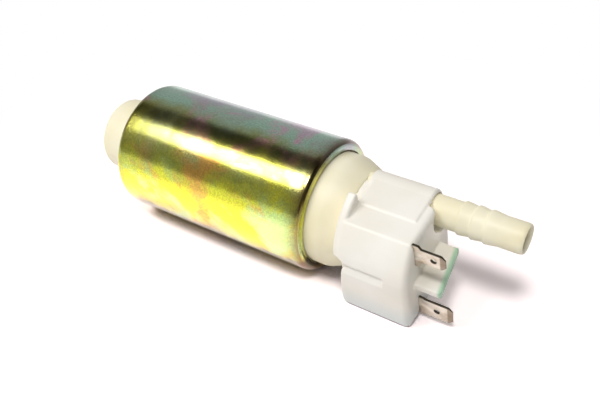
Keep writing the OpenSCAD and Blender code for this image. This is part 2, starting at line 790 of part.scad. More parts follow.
// Carbon brush with a face that follows the commutator
module brush(s) {
    h = brush_w / 2;
    color("#2b2b2d") rest_pose() difference() {
        block_pair(s, [brush_x - h, -h, comm_r - 1], [brush_x + h, h, brush_top]);
        bar(comm_r + air, brush_x - h - 1, brush_x + h + 1);
    }
}

module brush_positive() {
    brush(1);
}

module brush_negative() {
    brush(-1);
}

// Spring behind a brush
module brush_spring(s) {
    z0 = brush_top + 0.05;
    z1 = guide_end - 0.8 - 0.05;
    color("#b8bcc0") rest_pose() mirror([0, 0, s < 0 ? 1 : 0])
        translate([brush_x, 0, z0]) rotate([0, -90, 0]) coil_spring(1.4, 0.2, z1 - z0, 4, 12, 5);
}

module brush_spring_positive() {
    brush_spring(1);
}

module brush_spring_negative() {
    brush_spring(-1);
}

// Interference choke: ferrite rod with a few turns on it
module choke(s) {
    x0 = plate_x1 + air;
    x1 = gear_x - 1.6;
    y = -(gear_r - 4.8);
    turns = 6;
    step = (x1 - x0 - 1.6) / turns;
    color("#a5562a") rest_pose() translate([0, y, s * 4.2]) union() {
        bar(1, x0, x1);
        for (i = [0:turns - 1]) bar(1.6, x0 + 0.8 + i * step, x0 + 0.8 + (i + 0.8) * step);
    }
}

module choke_positive() {
    choke(1);
}

module choke_negative() {
    choke(-1);
}

check_x = cap_x1 + check_seat_x();
check_head_t = 1.2;
check_spring_x1 = check_x + check_head_t + check_spring_len;

// Check valve poppet: nose in the seat bore, flat head and guide stem
module check_valve_poppet() {
    nose = check_seat_d / 2 - air;
    color("#c8553a") rest_pose() translate([0, tube_y, tube_z]) turned([
        [check_x - 1.6, 0], [check_x - 1.6, nose * 0.5], [check_x - 0.6, nose], [check_x, nose],
        [check_x, check_head_d / 2], [check_x + check_head_t, check_head_d / 2],
        [check_x + check_head_t, check_stem_d / 2], [check_spring_x1 + 0.6, check_stem_d / 2],
        [check_spring_x1 + 0.6, 0]]);
}

module check_valve_spring() {
    color("#b8bcc0") rest_pose() translate([check_x + check_head_t + 0.05, tube_y, tube_z])
        coil_spring(check_stem_d / 2 + 0.7, 0.22, check_spring_len - 0.1, 6, 12, 5);
}

// Retainer that guides the stem and takes the spring
module check_valve_retainer() {
    r = tube_bore_d / 2 - press;
    t = 2.6;
    color("#e8e2cc") rest_pose() difference() {
        bar(r, check_spring_x1, check_spring_x1 + t, tube_y, tube_z);
        bar(check_stem_d / 2 + guide_play, check_spring_x1 - 1, check_spring_x1 + t + 1, tube_y, tube_z);
        for (i = [0:2]) translate([0, tube_y, tube_z]) rotate([120 * i, 0, 0])
            bar(0.6, check_spring_x1 - 1, check_spring_x1 + t + 1, r - 0.9, 0);
    }
}

// Ball of the relief valve, just off the edge of its seat bore
relief_seat_x = gear_x + relief_lip;
relief_ball_x = relief_seat_x + norm([relief_ball_d / 2, 0]) * cos(asin(relief_seat_d / relief_ball_d)) + 0.05;
plug_t = 1.6;

module relief_valve_ball() {
    color("#a9adb2") rest_pose() translate([relief_ball_x, relief_y, -relief_down])
        sphere(d = relief_ball_d, $fn = 32);
}

module relief_valve_spring() {
    x0 = relief_ball_x + relief_ball_d / 2 + 0.05;
    x1 = barrel_x - plug_t - 0.05;
    color("#b8bcc0") rest_pose() translate([x0, relief_y, -relief_down])
        coil_spring(relief_ball_d / 2 - 0.45, 0.18, x1 - x0, 4, 12, 5);
}

module relief_valve_plug() {
    r = relief_ball_d / 2 + guide_play - press;
    color("#b08d4a") rest_pose() ring(r, 0.6, barrel_x - plug_t, barrel_x, relief_y, -relief_down);
}

// Rubber ring between a seat groove and the can
module seal(x) {
    color("#1d1d1f") rest_pose() rotate([0, 90, 0]) translate([0, 0, x])
        rotate_extrude($fn = round_fn) translate([can_bore_r - seal_r - press, 0]) circle(seal_r - press, $fn = 32);
}

module outlet_seal() {
    seal(groove_x());
}

module inlet_seal() {
    seal(cover_x0 + 1.8 + groove_w / 2);
}

can();
outlet_cap();
terminal_housing();
terminal_positive();
terminal_negative();
inlet_cover();
pump_body();
impeller();
shaft();
armature_core();
armature_winding();
commutator();
upper_bearing();
lower_bearing();
thrust_ball();
upper_washer();
lower_washer();
flux_ring();
magnet_front();
magnet_back();
magnet_clip_top();
magnet_clip_bottom();
brush_holder();
brush_positive();
brush_negative();
brush_spring_positive();
brush_spring_negative();
choke_positive();
choke_negative();
check_valve_poppet();
check_valve_spring();
check_valve_retainer();
relief_valve_ball();
relief_valve_spring();
relief_valve_plug();
outlet_seal();
inlet_seal();
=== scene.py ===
import math
import bpy
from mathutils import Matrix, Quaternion, Vector


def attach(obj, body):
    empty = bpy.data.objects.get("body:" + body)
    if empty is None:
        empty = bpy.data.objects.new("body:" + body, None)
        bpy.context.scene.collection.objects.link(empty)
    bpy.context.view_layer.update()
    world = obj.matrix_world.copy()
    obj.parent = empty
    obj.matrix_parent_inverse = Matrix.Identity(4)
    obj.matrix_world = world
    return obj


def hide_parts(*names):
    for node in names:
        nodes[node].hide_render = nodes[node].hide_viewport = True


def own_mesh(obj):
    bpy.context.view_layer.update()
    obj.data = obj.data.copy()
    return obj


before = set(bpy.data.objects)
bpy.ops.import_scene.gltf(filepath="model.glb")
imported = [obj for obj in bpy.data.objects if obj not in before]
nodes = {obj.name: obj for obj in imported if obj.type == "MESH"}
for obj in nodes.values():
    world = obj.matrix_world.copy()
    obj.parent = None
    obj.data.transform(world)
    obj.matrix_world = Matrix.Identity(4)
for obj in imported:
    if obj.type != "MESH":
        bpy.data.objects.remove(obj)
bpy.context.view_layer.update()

# Camera: stands in front and to the right of the pump and looks down on it by about 34 degrees.
# Place, turn and lens are those of the photograph, worked out from the can's outlines, the tube
# and the blades.
def facing(place, aim):
    """The turn of a camera or lamp that stands at one point and looks at another."""
    return (aim - place).to_track_quat("-Z", "Y")


camera_place = Vector((0.12698, -0.15423, 0.12384))
camera_aim = Vector((0.02125, 0.0, -0.00204))
camera_roll = math.radians(-1.0005)
camera_data = bpy.data.cameras.new("photo_camera")
camera_data.sensor_width = 36
camera_data.lens = 46.5
camera_data.clip_start = 0.01
camera = bpy.data.objects.new("photo_camera", camera_data)
camera.location = camera_place
camera.rotation_mode = "QUATERNION"
camera.rotation_quaternion = (facing(camera_place, camera_aim)
                              @ Quaternion((0, 0, 1), camera_roll))
bpy.context.collection.objects.link(camera)
bpy.context.scene.camera = camera
bpy.context.scene.view_settings.view_transform = "Standard"


# Floor: a sheet of white photographer's paper, matt, on which the pump lies.
# It keeps the pump's shadow, and is white wherever nothing shades it.
def linear(hex_colour):
    """Turns an sRGB hex colour into the linear values that Blender takes."""
    parts = [int(hex_colour[i:i + 2], 16) / 255 for i in (1, 3, 5)]
    return tuple(part / 12.92 if part <= 0.04045 else ((part + 0.055) / 1.055) ** 2.4
                 for part in parts) + (1.0,)


def add(tree, kind, sockets=None, **settings):
    """Adds one shader node; settings are its options, sockets its inputs or what feeds them."""
    made = tree.nodes.new("ShaderNode" + kind)
    for name, value in settings.items():
        setattr(made, name, value)
    for name, value in (sockets or {}).items():
        if isinstance(value, bpy.types.NodeSocket):
            tree.links.new(value, made.inputs[name])
        else:
            made.inputs[name].default_value = value
    return made


def deselect():
    """Leaves nothing selected, so that the next operator acts on its own piece only."""
    if bpy.context.object and bpy.context.object.mode != "OBJECT":
        bpy.ops.object.mode_set(mode="OBJECT")
    bpy.ops.object.select_all(action="DESELECT")


floor_z = -0.0195
floor_width = 6
full_white = (1.0, 1.0, 1.0, 1.0)
paper_tone = linear("#e4e3e4")
# Where it is seen the paper is a full white with a faint rose tone, which only its shadows show.
paper_where_seen = (1.75, 1.59, 1.62, 1.0)
# Right under the pump, where hardly any light comes in, painted shade in the paper's colour
# deepens the shadow to a cold near-black.
painted_contact_shade = linear("#6a6674")
contact_reach = 0.012
# Further out it runs into the white of the studio. The shift brings the point that this is
# measured from, near the pump's middle, to the origin.
fade_shift = (-0.02, -0.01, 0.0)
fade_start, fade_end = 0.070, 0.15

deselect()
bpy.ops.mesh.primitive_grid_add(x_subdivisions=4, y_subdivisions=4, size=floor_width,
                                location=(0, 0, floor_z))
floor = bpy.context.object
floor.name = "paper_floor"
bpy.ops.object.transform_apply(location=True, rotation=True, scale=True)
paper = bpy.data.materials.new("white_paper")
paper.use_nodes = True
tree = paper.node_tree
tree.nodes.clear()
place = add(tree, "TexCoord").outputs["Object"]
# The paper's tooth is finer than 0.5 mm, drawn at 1 mm so that it shows.
fibres = add(tree, "TexNoise", {"Vector": place, "Scale": 900.0, "Detail": 4.0})
tooth = add(tree, "Bump", {"Height": fibres.outputs["Fac"], "Strength": 0.04, "Distance": 0.0002})
ray = add(tree, "LightPath")
seen_or_mirrored = add(tree, "Math", {0: ray.outputs["Is Camera Ray"],
                                      1: ray.outputs["Is Glossy Ray"]}, operation="MAXIMUM")
seen_at_all = add(tree, "Math", {0: seen_or_mirrored.outputs[0],
                                 1: ray.outputs["Is Transmission Ray"]}, operation="MAXIMUM")
whiter = add(tree, "Mix", {0: seen_at_all.outputs[0], 6: paper_tone, 7: paper_where_seen},
             data_type="RGBA")
# Painted shade: the paper's colour is darkened where the pump hems it in.
hollow = add(tree, "AmbientOcclusion", {"Distance": contact_reach}, samples=8)
dim = add(tree, "MapRange", {"Value": hollow.outputs["AO"], "From Min": 0.08, "From Max": 0.38},
          interpolation_type="SMOOTHSTEP")
shaded = add(tree, "Mix", {0: dim.outputs[0], 6: painted_contact_shade, 7: full_white}, data_type="RGBA")
deepened = add(tree, "Mix", {0: 1.0, 6: whiter.outputs[2], 7: shaded.outputs[2]},
               data_type="RGBA", blend_type="MULTIPLY")
matt = add(tree, "BsdfDiffuse", {"Color": deepened.outputs[2], "Normal": tooth.outputs["Normal"]})
middle = add(tree, "Mapping", {"Vector": place, "Location": fade_shift})
reach = add(tree, "VectorMath", {0: middle.outputs[0]}, operation="LENGTH")
away = add(tree, "MapRange", {"Value": reach.outputs["Value"], "From Min": fade_start,
                              "From Max": fade_end}, interpolation_type="SMOOTHSTEP")
faded = add(tree, "Math", {0: away.outputs[0], 1: seen_at_all.outputs[0]}, operation="MULTIPLY")
glow = add(tree, "Emission", {"Color": full_white, "Strength": 1.0})
both = add(tree, "MixShader", {0: faded.outputs[0], 1: matt.outputs[0], 2: glow.outputs[0]})
add(tree, "OutputMaterial", {"Surface": both.outputs[0]})
floor.data.materials.append(paper)


# Light: a studio with a softbox over the front of the can and a small lamp over the tube, a dim
# ceiling, pale grey walls and white paper up to eye level. The softbox and the dim ceiling are
# what the plated can mirrors as its bright and its dark band.
def set_stops(ramp, tones):
    """Gives a colour ramp its stops, (position, colour) from low to high."""
    stops = ramp.color_ramp.elements
    while len(stops) < len(tones):
        stops.new(0.5)
    for stop, (position, colour) in zip(stops, tones):
        stop.position = position
        stop.color = colour


def grey(level):
    """A neutral tone of a linear level."""
    return (level, level, level, 1.0)


def on_circle(degrees):
    """Where an angle from -180 to 180 degrees lies on a ramp that goes once round."""
    return degrees / 360 + 0.5


def hang_lamp(name, place, aim, **settings):
    """Hangs an area lamp at a place in metres, aimed at a point; settings are the lamp's own."""
    lamp = bpy.data.lights.new(name, "AREA")
    for setting, value in settings.items():
        setattr(lamp, setting, value)
    hung = bpy.data.objects.new(name, lamp)
    hung.location = place
    hung.rotation_mode = "QUATERNION"
    hung.rotation_quaternion = facing(Vector(place), Vector(aim))
    bpy.context.collection.objects.link(hung)


studio = bpy.data.worlds.new("studio")
studio.use_nodes = True
bpy.context.scene.world = studio
tree = studio.node_tree
tree.nodes.clear()
# The room is graded by the angle in the plane across the can: 0 degrees is straight up, 90 the
# front and -90 the back. Past both lies the white paper.
towards = add(tree, "SeparateXYZ", {0: add(tree, "TexCoord").outputs["Generated"]})
forward = add(tree, "Math", {0: towards.outputs["Y"], 1: -1.0}, operation="MULTIPLY")
turn = add(tree, "Math", {0: forward.outputs[0], 1: towards.outputs["Z"]}, operation="ARCTAN2")
along = add(tree, "MapRange", {"Value": turn.outputs[0], "From Min": -math.pi,
                               "From Max": math.pi})
walls = add(tree, "ValToRGB", {"Fac": along.outputs[0]})
room_levels = [(-180, 0.8), (-92, 0.8), (-84, 0.52), (-55, 0.50), (-22, 0.46), (-12, 0.05),
               (9, 0.05), (16, 0.26), (44, 0.40), (70, 0.38), (86, 0.36), (92, 0.7)]
set_stops(walls, [(on_circle(degrees), grey(level)) for degrees, level in room_levels])
# It is darker towards the tube's end.
side = add(tree, "MapRange", {"Value": towards.outputs["X"], "From Min": 0.1, "From Max": 0.9,
                              "To Min": 1.0, "To Max": 0.2})
dimmed = add(tree, "Mix", {0: 1.0, 6: walls.outputs["Color"], 7: side.outputs[0]},
             data_type="RGBA", blend_type="MULTIPLY")
room = add(tree, "Background", {"Color": dimmed.outputs[2], "Strength": 1.0})
white = add(tree, "Background", {"Color": full_white, "Strength": 1.0})
ray = add(tree, "LightPath")
direct = add(tree, "Math", {0: ray.outputs["Is Camera Ray"],
                            1: ray.outputs["Is Transmission Ray"]}, operation="MAXIMUM")
shown = add(tree, "MixShader", {0: direct.outputs[0], 1: room.outputs[0], 2: white.outputs[0]})
add(tree, "OutputWorld", {"Surface": shown.outputs[0]})

lamp_tone = (1.0, 0.99, 0.97)
hang_lamp("softbox", (-0.28, -0.32, 0.50), (-0.28, 0.0, 0.0), shape="RECTANGLE",
          size=0.36, size_y=0.25, energy=2.0, color=lamp_tone)
# The small lamp casts the tube's shadow on the paper.
hang_lamp("key", (0.14, -0.29, 0.52), (0.05, 0.0, 0.0), shape="DISK",
          size=0.13, energy=1.42, color=lamp_tone)


# Can: drawn steel tube, zinc plated and passivated yellow, both ends rolled in over the caps.
# Plating like this is a mirror with a yellow to olive film, whose colour drifts to pink and
# green where the film is thicker, with a fine grain from the drawn sheet under it.
def finish_for(name, colour, roughness, metallic=0.0, **constants):
    """Starts a material with one Principled shader; returns it, its tree, shader and place."""
    material = bpy.data.materials.new(name)
    material.use_nodes = True
    tree = material.node_tree
    tree.nodes.clear()
    shader = add(tree, "BsdfPrincipled", {"Base Color": linear(colour), "Roughness": roughness,
                                          "Metallic": metallic, **constants})
    add(tree, "OutputMaterial", {"Surface": shader.outputs[0]})
    return material, tree, shader, add(tree, "TexCoord").outputs["Object"]


def coat(object_, material):
    """Puts a material on every slot of a piece."""
    if not object_.material_slots:
        object_.data.materials.append(material)
    for slot in object_.material_slots:
        slot.material = material


zinc, tree, shader, place = finish_for("yellow_zinc_plated_steel", "#d8cf5e", 0.2, 1.0, **{
    "Coat Weight": 0.45, "Coat Roughness": 0.14, "Coat IOR": 1.6})
parts = add(tree, "SeparateXYZ", {0: place})
front = add(tree, "Math", {0: parts.outputs["Y"], 1: -1.0}, operation="MULTIPLY")
round_turn = add(tree, "Math", {0: front.outputs[0], 1: parts.outputs["Z"]}, operation="ARCTAN2")
# The bands' edges wander with clouds of about 18 mm.
film = add(tree, "TexNoise", {"Vector": place, "Scale": 55.0, "Detail": 4.0, "Roughness": 0.6})
drift = add(tree, "MapRange", {"Value": film.outputs["Fac"], "From Min": 0.3, "From Max": 0.7,
                               "To Min": -0.14, "To Max": 0.14})
drifted = add(tree, "Math", {0: round_turn.outputs[0], 1: drift.outputs[0]}, operation="ADD")
sweep = add(tree, "MapRange", {"Value": drifted.outputs[0], "From Min": -math.pi,
                               "From Max": math.pi})


def colours_round(tree, sweep, tones):
    """A ramp of colours round the can, each at an angle in degrees from the top to the front."""
    ramp = add(tree, "ValToRGB", {"Fac": sweep.outputs[0]})
    set_stops(ramp, [(on_circle(degrees), linear(colour)) for degrees, colour in tones])
    return ramp.outputs["Color"]


def patches(tree, place, size_mm, shift, low, high, strength):
    """Soft patches of a real size, which don't repeat in step with others."""
    moved = add(tree, "Mapping", {"Vector": place, "Location": shift})
    noise = add(tree, "TexNoise", {"Vector": moved.outputs[0], "Scale": 1000.0 / size_mm,
                                   "Detail": 5.0, "Roughness": 0.62, "Distortion": 0.5})
    return add(tree, "MapRange", {"Value": noise.outputs["Fac"], "From Min": low, "From Max": high,
                                  "To Max": strength}).outputs[0]


# The film's colours round the can are partly painted reflection: they follow the bands the plating
# mirrors. The pale stops at 40 degrees are a painted highlight, the darker stops near 20 and 60
# degrees painted parts of the darker bands, and the dark stops from 121 to 136 degrees a painted
# reflection of the shadow under the can.
plain_film_and_painted_bands = colours_round(tree, sweep, [
    (-180, "#d6cf63"), (-70, "#c9cf86"), (-25, "#9dc2ae"), (8, "#9fc3ac"), (20, "#989c58"),
    (40, "#eae45c"), (56, "#bdb935"), (74, "#e2e33c"), (100, "#ece643"), (114, "#cfc242"),
    (121, "#5e5a2b"), (136, "#5e572a"), (150, "#b3a650"), (175, "#c9bf5a")])
warm_film_and_painted_bands = colours_round(tree, sweep, [
    (-180, "#e0b070"), (-70, "#d8b8a8"), (-30, "#c4a2bf"), (16, "#d99ab4"), (40, "#e8b070"),
    (60, "#d9974c"), (85, "#efb45c"), (108, "#d99c50"), (121, "#6c4e2a"), (136, "#6c4e2a"),
    (150, "#b08848")])
cool_film_and_painted_bands = colours_round(tree, sweep, [
    (-180, "#b9d49a"), (-60, "#b0b4bc"), (-10, "#aaa2b2"), (18, "#a3a478"), (40, "#dfe6a0"),
    (62, "#8f9a44"), (80, "#bfe8a0"), (104, "#c8f6c0"), (116, "#a5cf94"), (123, "#5c6a3a"),
    (136, "#5c6a3a"), (160, "#a9b070")])
warm_at = patches(tree, place, 15, (0.31, 0.17, 0.23), 0.51, 0.62, 0.75)
warmed = add(tree, "Mix", {0: warm_at, 6: plain_film_and_painted_bands, 7: warm_film_and_painted_bands}, data_type="RGBA")
cool_at = patches(tree, place, 17, (0.11, 0.52, 0.07), 0.48, 0.61, 0.7)
cooled = add(tree, "Mix", {0: cool_at, 6: warmed.outputs[2], 7: cool_film_and_painted_bands}, data_type="RGBA")
# The sheet's grain is about 0.2 mm, drawn at 0.5 mm so that it shows.
grain = add(tree, "TexNoise", {"Vector": place, "Scale": 2000.0, "Detail": 3.0, "Roughness": 0.7})
speckle = add(tree, "MapRange", {"Value": grain.outputs["Fac"], "From Min": 0.35, "From Max": 0.65,
                                 "To Min": 0.8, "To Max": 1.12})
speckled = add(tree, "Mix", {0: 1.0, 6: cooled.outputs[2], 7: speckle.outputs[0]},
               data_type="RGBA", blend_type="MULTIPLY")
# Towards each rolled end the film is browner, most of all on the bend, and at the inlet end less
# than half as much as at the outlet end.
rim_side = add(tree, "Math", {0: parts.outputs["X"]}, operation="ABSOLUTE")
on_bend = add(tree, "ValToRGB", {"Fac": add(tree, "MapRange", {
    "Value": rim_side.outputs[0], "From Min": 0.0270, "From Max": 0.0335}).outputs[0]})
brown_levels = [(0.0, 0.0), (0.3, 0.1), (0.62, 0.38), (0.8, 0.62), (0.9, 0.8), (0.96, 0.15),
                (1.0, 0.0)]
set_stops(on_bend, [(position, grey(level)) for position, level in brown_levels])
by_end = add(tree, "MapRange", {"Value": parts.outputs["X"], "From Min": -0.02,
                                "From Max": 0.02, "To Min": 0.45})
rim_browning = add(tree, "Math", {0: on_bend.outputs["Color"], 1: by_end.outputs[0]},
                operation="MULTIPLY")
browned = add(tree, "Mix", {0: rim_browning.outputs[0], 6: speckled.outputs[2],
                            7: linear("#6a3a20")}, data_type="RGBA")
tree.links.new(browned.outputs[2], shader.inputs["Base Color"])
# The rolled sheet isn't quite even: waves of about 5 mm.
waves = add(tree, "TexNoise", {"Vector": place, "Scale": 220.0, "Detail": 2.0})
heights = add(tree, "Math", {0: grain.outputs["Fac"], 1: 0.6, 2: waves.outputs["Fac"]},
              operation="MULTIPLY_ADD")
skin = add(tree, "Bump", {"Height": heights.outputs[0], "Strength": 0.18, "Distance": 0.0002})
tree.links.new(skin.outputs["Normal"], shader.inputs["Normal"])
dull = add(tree, "MapRange", {"Value": waves.outputs["Fac"], "From Min": 0.3, "From Max": 0.7,
                              "To Min": 0.13, "To Max": 0.21})
tree.links.new(dull.outputs[0], shader.inputs["Roughness"])
coat(nodes["can"], zinc)


# Outlet cap: ivory acetal, moulded in one piece with the barrel and the barbed hose tube.
# Held in the can by the rolled rim; the moulding has soft edges and rounded barbs.
# Lengths of its outlines are in mm: x from the rim, then the radius.
rest_tilt = math.radians(15.7387)
rim_x = 0.03335
merge_within = 0.000002


def pick(piece):
    """Selects one piece and nothing else, and makes it the active one."""
    deselect()
    piece.select_set(True)
    bpy.context.view_layer.objects.active = piece


def turn_profile(name, profile, y=0.0, z=0.0, steps=128):
    """Spins a closed outline of (x, radius) in mm about an axis along X, in its place."""
    deselect()
    bpy.ops.mesh.primitive_circle_add(vertices=len(profile), radius=0.01, fill_type="NOTHING")
    piece = bpy.context.object
    piece.name = name
    for vertex, (x, radius) in zip(piece.data.vertices, profile):
        vertex.co = (x / 1000, y / 1000, (z + radius) / 1000)
    bpy.ops.object.mode_set(mode="EDIT")
    bpy.ops.mesh.select_all(action="SELECT")
    bpy.ops.mesh.spin(steps=steps, angle=2 * math.pi, center=(0, y / 1000, z / 1000),
                      axis=(1, 0, 0))
    bpy.ops.mesh.select_all(action="SELECT")
    bpy.ops.mesh.remove_doubles(threshold=merge_within)
    bpy.ops.mesh.normals_make_consistent(inside=False)
    bpy.ops.object.mode_set(mode="OBJECT")
    return piece


def lay_down(piece):
    """Leans a piece drawn upright from the rim as the pump rests, with its place in its mesh."""
    pick(piece)
    piece.rotation_mode = "XYZ"
    piece.rotation_euler = (rest_tilt, 0, 0)
    piece.location = (rim_x, 0, 0)
    bpy.ops.object.transform_apply(location=True, rotation=True, scale=True)


def use_modifier(piece, kind, **settings):
    """Adds a modifier with its settings and applies it."""
    pick(piece)
    modifier = piece.modifiers.new(kind.lower(), kind)
    for name, value in settings.items():
        setattr(modifier, name, value)
    bpy.ops.object.modifier_apply(modifier=modifier.name)


def break_edges(piece, width, segments, degrees):
    """Bevels every edge that bends by more than some degrees, as a mould or a press leaves it."""
    use_modifier(piece, "BEVEL", width=width, segments=segments, limit_method="ANGLE",
                 angle_limit=math.radians(degrees))


def smooth(piece, degrees=35):
    """Shades a piece smooth, but keeps its hard edges."""
    pick(piece)
    bpy.ops.object.shade_smooth_by_angle(angle=math.radians(degrees))


skirt_r, barrel_r, inner_r, core_r = 18.25, 16.2, 14.2, 2.0
skirt_end, barrel_end, inner_face = -9.5, 10.3, 0.5
barrel = turn_profile("outlet_cap_moulding", [
    (skirt_end, inner_r), (skirt_end, skirt_r), (-2.5, skirt_r), (-1.2, 16.95), (-1.2, barrel_r),
    (3.4, barrel_r), (4.4, 16.06), (5.2, 15.8), (9.8, 13.84), (barrel_end, 13.5),
    (barrel_end, core_r), (inner_face, core_r), (inner_face, inner_r)])
break_edges(barrel, 0.0003, 2, 25)
tube_y, tube_z, tube_steps = 3.85, 8.9, 96
tube_r, bore_r, passage_r = 4.15, 3.0, 1.9
barb_count, barb_pitch, first_barb = 3, 3.6, 36.7
tube_outline = [(2.5, passage_r), (2.5, tube_r), (36.6, tube_r)]
for barb in range(barb_count):
    start = first_barb + barb_pitch * barb
    tube_outline += [(start, 4.2), (start + 0.12, 4.42), (start + 0.4, 4.58),
                     (start + 0.9, 4.56), (start + 2.6, 4.32), (start + 3.45, 4.17)]
tube_outline += [(47.6, tube_r), (53.2, tube_r), (53.8, 4.02), (54.15, 3.8), (54.2, 3.66),
                 (54.1, 3.5), (53.6, 3.1), (53.2, bore_r), (14.0, bore_r), (14.0, passage_r)]
tube = turn_profile("outlet_tube_moulding", tube_outline, tube_y, tube_z, tube_steps)


def blotches(tree, place, size_mm, low, high, colour_a, colour_b, detail=3.0):
    """Two colours in soft blotches of a real size, from noise on the object's own coordinates."""
    noise = add(tree, "TexNoise", {"Vector": place, "Scale": 1000.0 / size_mm, "Detail": detail})
    sharp = add(tree, "MapRange", {"Value": noise.outputs["Fac"], "From Min": low,
                                   "From Max": high})
    return add(tree, "Mix", {0: sharp.outputs[0], 6: linear(colour_a), 7: linear(colour_b)},
               data_type="RGBA").outputs[2]


def mottled(name, colour, roughness, metallic, blotch, **constants):
    """A finish in two tones; blotch is their size in mm, noise from and to, colours, detail."""
    material, tree, shader, place = finish_for(name, colour, roughness, metallic, **constants)
    tree.links.new(blotches(tree, place, *blotch), shader.inputs["Base Color"])
    return material, tree, shader, place


def mould_skin(tree, shader, place, flow_scale, glossiest, dullest):
    """The texture of a moulding: fine pits of the mould over the faint waves of the flow."""
    # Spark-eroded mould texture of about 0.1 mm, drawn at 0.3 mm so that it shows.
    pits = add(tree, "TexNoise", {"Vector": place, "Scale": 3200.0, "Detail": 2.0})
    flow = add(tree, "TexNoise", {"Vector": place, "Scale": flow_scale, "Detail": 2.0})
    relief = add(tree, "Math", {0: pits.outputs["Fac"], 1: 0.4, 2: flow.outputs["Fac"]},
                 operation="MULTIPLY_ADD")
    skin = add(tree, "Bump", {"Height": relief.outputs[0], "Strength": 0.12, "Distance": 0.0002})
    tree.links.new(skin.outputs["Normal"], shader.inputs["Normal"])
    gloss = add(tree, "MapRange", {"Value": flow.outputs["Fac"], "From Min": 0.3,
                                   "From Max": 0.7, "To Min": glossiest, "To Max": dullest})
    tree.links.new(gloss.outputs[0], shader.inputs["Roughness"])


ivory, tree, shader, place = mottled("ivory_acetal", "#f8f1d3", 0.38, 0.0,
                                     (14, 0.35, 0.7, "#faf4da", "#f3e9c4"), IOR=1.48)
mould_skin(tree, shader, place, 120.0, 0.32, 0.46)
for piece in (barrel, tube):
    smooth(piece)
    lay_down(piece)
    coat(piece, ivory)
    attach(piece, "pump")
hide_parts("outlet_cap")
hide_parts("outlet_cap")


# Terminal housing: white acetal moulding that is snapped over the blades and the tube's foot.
# All its edges are the soft ones of a mould; it carries the divider, the latch ledge and the hood.
def copy_of(node, ending, melt_degrees=None):
    """Copies a CAD node as a piece with merged points, and melts faces that are nearly flat."""
    pick(nodes[node])
    bpy.ops.object.duplicate()
    piece = bpy.context.object
    piece.name = node + ending
    piece.parent = None
    bpy.ops.object.mode_set(mode="EDIT")
    bpy.ops.mesh.select_all(action="SELECT")
    bpy.ops.mesh.remove_doubles(threshold=merge_within)
    if melt_degrees:
        bpy.ops.mesh.dissolve_limited(angle_limit=math.radians(melt_degrees))
    bpy.ops.object.mode_set(mode="OBJECT")
    return piece


def turn_about_can(piece, angle):
    """Turns a piece's mesh about the can's axis."""
    pick(piece)
    bpy.ops.object.mode_set(mode="EDIT")
    bpy.ops.mesh.select_all(action="SELECT")
    bpy.ops.transform.rotate(value=angle, orient_axis="X", center_override=(0, 0, 0))
    bpy.ops.object.mode_set(mode="OBJECT")


def upright_place(tree, place):
    """Coordinates of the upright drawing, in metres from the rim, before the pump is laid down."""
    return add(tree, "Mapping", {"Vector": place, "Rotation": (-rest_tilt, 0, 0),
                                 "Location": (-rim_x, 0, 0)}).outputs[0]


# The soft edges come from a fine remesh, which runs in the upright drawing's directions.
housing_voxel = 0.00026
housing = copy_of("terminal_housing", "_moulding")
turn_about_can(housing, rest_tilt)
use_modifier(housing, "REMESH", mode="VOXEL", voxel_size=housing_voxel, adaptivity=0.0)
use_modifier(housing, "SMOOTH", factor=0.5, iterations=3)
turn_about_can(housing, -rest_tilt)
bpy.ops.object.shade_smooth()

white_plastic, tree, shader, place = finish_for("white_acetal", "#f7f3ea", 0.36, 0.0, IOR=1.48)
clouded = blotches(tree, place, 16, 0.35, 0.7, "#fbf8f1", "#f5efe2")
upright = upright_place(tree, place)
# Painted shade: its lower third is a cooler grey, standing for the shade that falls near the
# paper.
grey_from, grey_below = -0.004, -0.0145
height = add(tree, "SeparateXYZ", {0: upright})
painted_shade_low = add(tree, "MapRange", {"Value": height.outputs["Z"], "From Min": grey_from,
                                  "From Max": grey_below, "To Max": 0.8},
               interpolation_type="SMOOTHSTEP")
shade_painted_below = add(tree, "Mix", {0: painted_shade_low.outputs[0], 6: clouded, 7: linear("#d3dad9")},
             data_type="RGBA")
# Painted shade: the divider's end is greenish, beyond a plane along its slant in the upright
# drawing.
slant = (0.989, 0.146, 0.0)
green_from, green_beyond = 0.0352, 0.0366
to_end = add(tree, "VectorMath", {0: upright, 1: slant}, operation="DOT_PRODUCT")
painted_shade_at_end = add(tree, "MapRange", {"Value": to_end.outputs["Value"], "From Min": green_from,
                                "From Max": green_beyond, "To Max": 0.75},
             interpolation_type="SMOOTHSTEP")
end_shade_painted = add(tree, "Mix", {0: painted_shade_at_end.outputs[0], 6: shade_painted_below.outputs[2], 7: linear("#86c49c")},
            data_type="RGBA")
tree.links.new(end_shade_painted.outputs[2], shader.inputs["Base Color"])
mould_skin(tree, shader, place, 110.0, 0.3, 0.44)
coat(housing, white_plastic)
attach(housing, "pump")
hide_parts("terminal_housing")


# Terminals: two flat tabs stamped from tin-plated brass, pushed through the cap before it is
# fitted. The tin is dull with fine draw marks, and the stamped edges and bevelled tips are darker.
tin, tree, shader, place = finish_for("tinned_brass", "#b3aea2", 0.38, 1.0)
# Draw marks lie along the blades, 0.4 mm across; the tarnish is in spots of about 4 mm.
stretch = add(tree, "Mapping", {"Vector": place, "Scale": (0.12, 1.0, 1.0)})
marks = add(tree, "TexNoise", {"Vector": stretch.outputs[0], "Scale": 2600.0, "Detail": 3.0})
tarnish = add(tree, "TexNoise", {"Vector": place, "Scale": 260.0, "Detail": 4.0})
tone = add(tree, "MapRange", {"Value": tarnish.outputs["Fac"], "From Min": 0.4, "From Max": 0.7})
tinned = add(tree, "Mix", {0: tone.outputs[0], 6: linear("#cdc9bd"), 7: linear("#a0937c")},
             data_type="RGBA")
